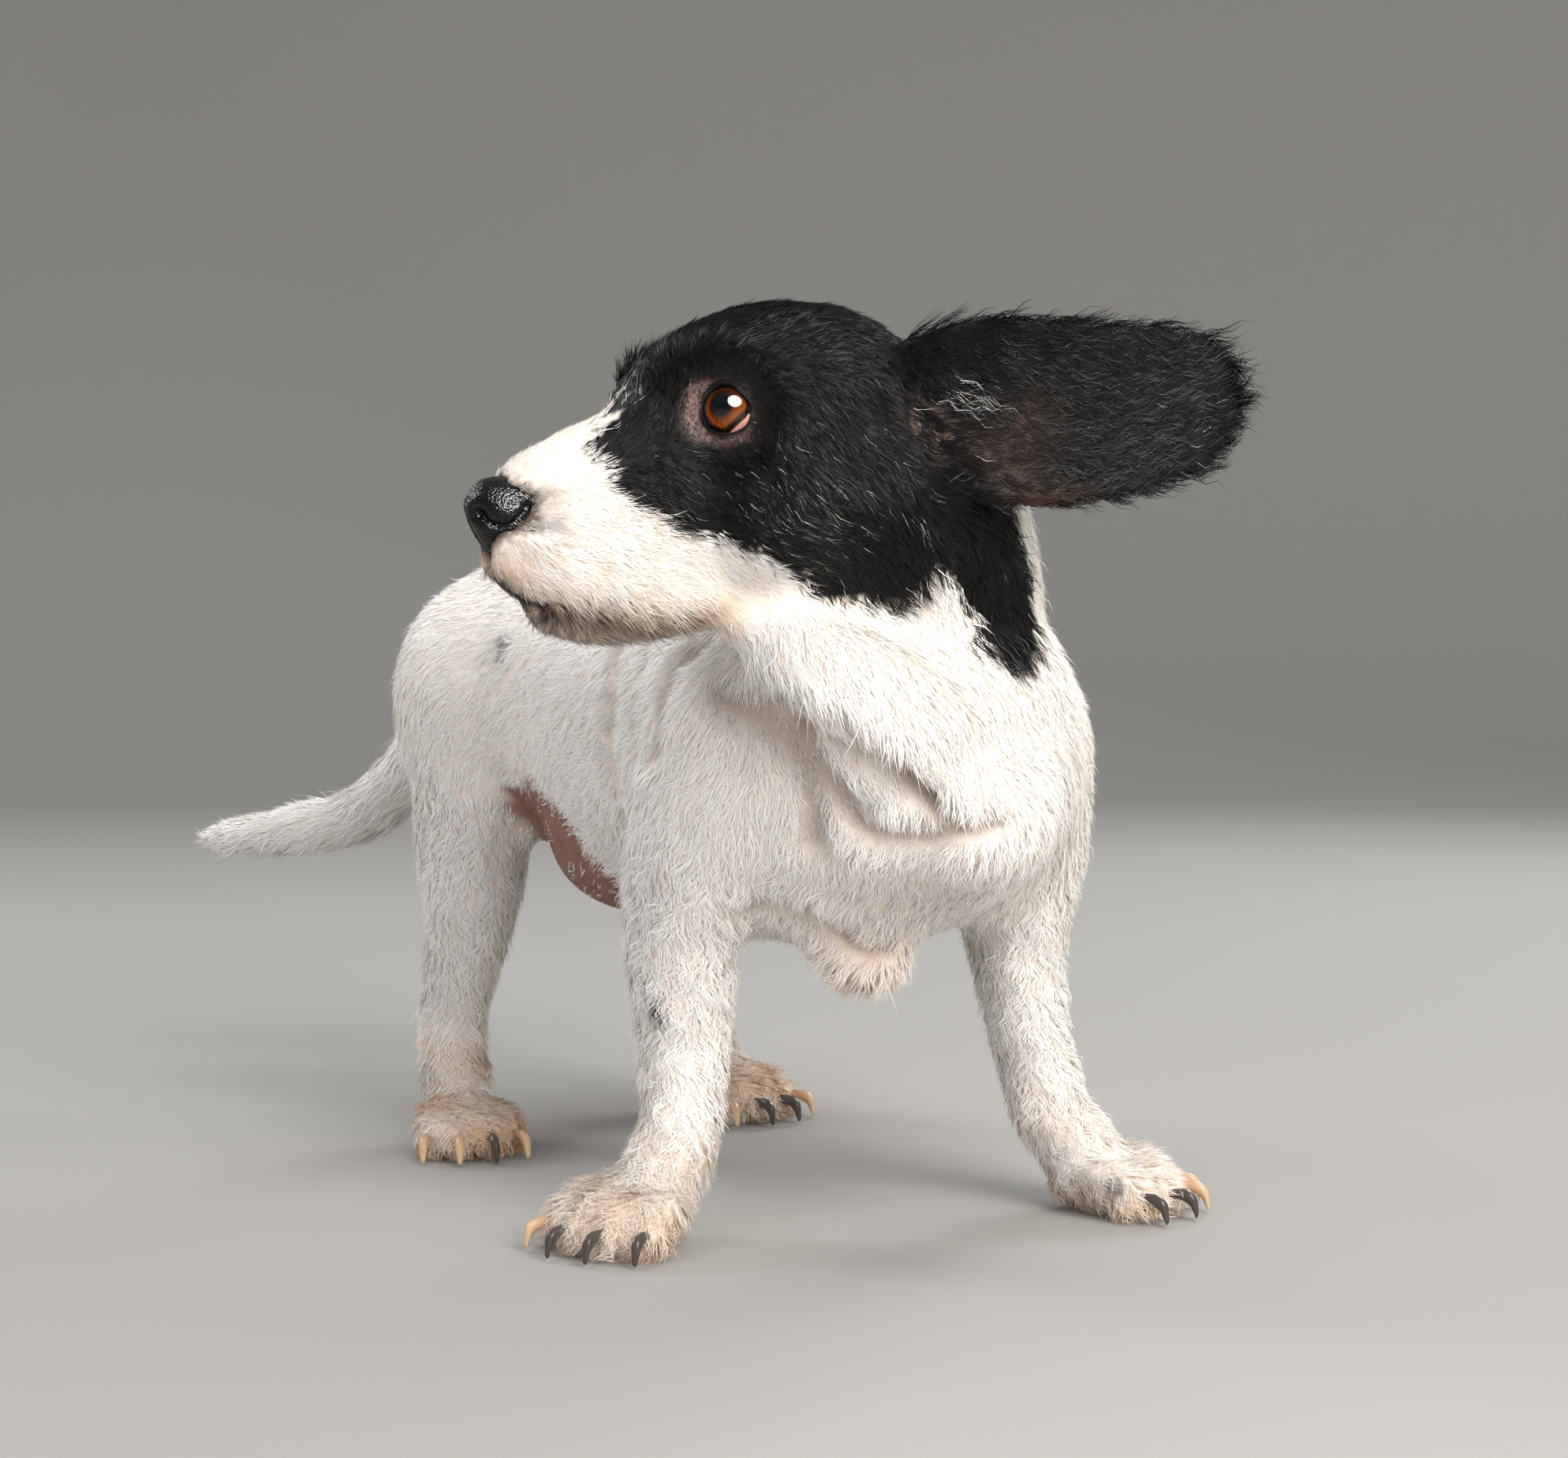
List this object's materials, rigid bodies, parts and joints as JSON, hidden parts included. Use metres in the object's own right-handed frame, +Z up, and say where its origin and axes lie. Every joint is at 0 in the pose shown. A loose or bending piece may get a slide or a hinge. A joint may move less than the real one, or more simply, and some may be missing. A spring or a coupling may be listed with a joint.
{
  "type": "small rough-coated dog, standing",
  "caption": "Life-size still model of a small, long-bodied, short-legged dog with a black and white rough coat, standing and looking back over its right side.",
  "frame": {"origin": "middle of the dog's box in plan, on the floor under its pads", "axes": "+Z up; the chest faces -Y and the tail +Y, the longest way; the dog's left side is +X; the head is turned to -X"},
  "size_m": [0.3648, 0.687, 0.4072],
  "materials": {
    "coat_white": "rough white dog coat over pink skin",
    "coat_black": "soft black dog coat over dark skin",
    "nose_leather": "moist pebbled black nose skin",
    "eye_amber": "wet clear cornea over an amber-brown iris",
    "horn_dark": "dark claw horn, satin",
    "horn_pale": "pale claw horn, satin"
  },
  "bodies": {
    "root": {"chest": "coat_white", "claw_forepaw_left_1": "horn_pale", "claw_forepaw_left_2": "horn_pale", "claw_forepaw_left_3": "horn_dark", "claw_forepaw_left_4": "horn_dark", "claw_forepaw_right_1": "horn_dark", "claw_forepaw_right_2": "horn_dark", "claw_forepaw_right_3": "horn_dark", "claw_forepaw_right_4": "horn_pale", "claw_hindpaw_left_1": "horn_pale", "claw_hindpaw_left_2": "horn_dark", "claw_hindpaw_left_3": "horn_dark", "claw_hindpaw_left_4": "horn_pale", "claw_hindpaw_right_1": "horn_pale", "claw_hindpaw_right_2": "horn_dark", "claw_hindpaw_right_3": "horn_pale", "claw_hindpaw_right_4": "horn_pale", "ear_left": "coat_black", "ear_right": "coat_black", "eye_left": "eye_amber", "eye_right": "eye_amber", "foreleg_left": "coat_white", "foreleg_right": "coat_white", "forepaw_left": "coat_white", "forepaw_right": "coat_white", "head": "coat_black", "hindleg_left": "coat_white", "hindleg_right": "coat_white", "hindpaw_left": "coat_white", "hindpaw_right": "coat_white", "jaw_lower": "coat_white", "loin": "coat_white", "neck": "coat_white", "nose": "nose_leather", "tail": "coat_white"}
  },
  "joints": []
}
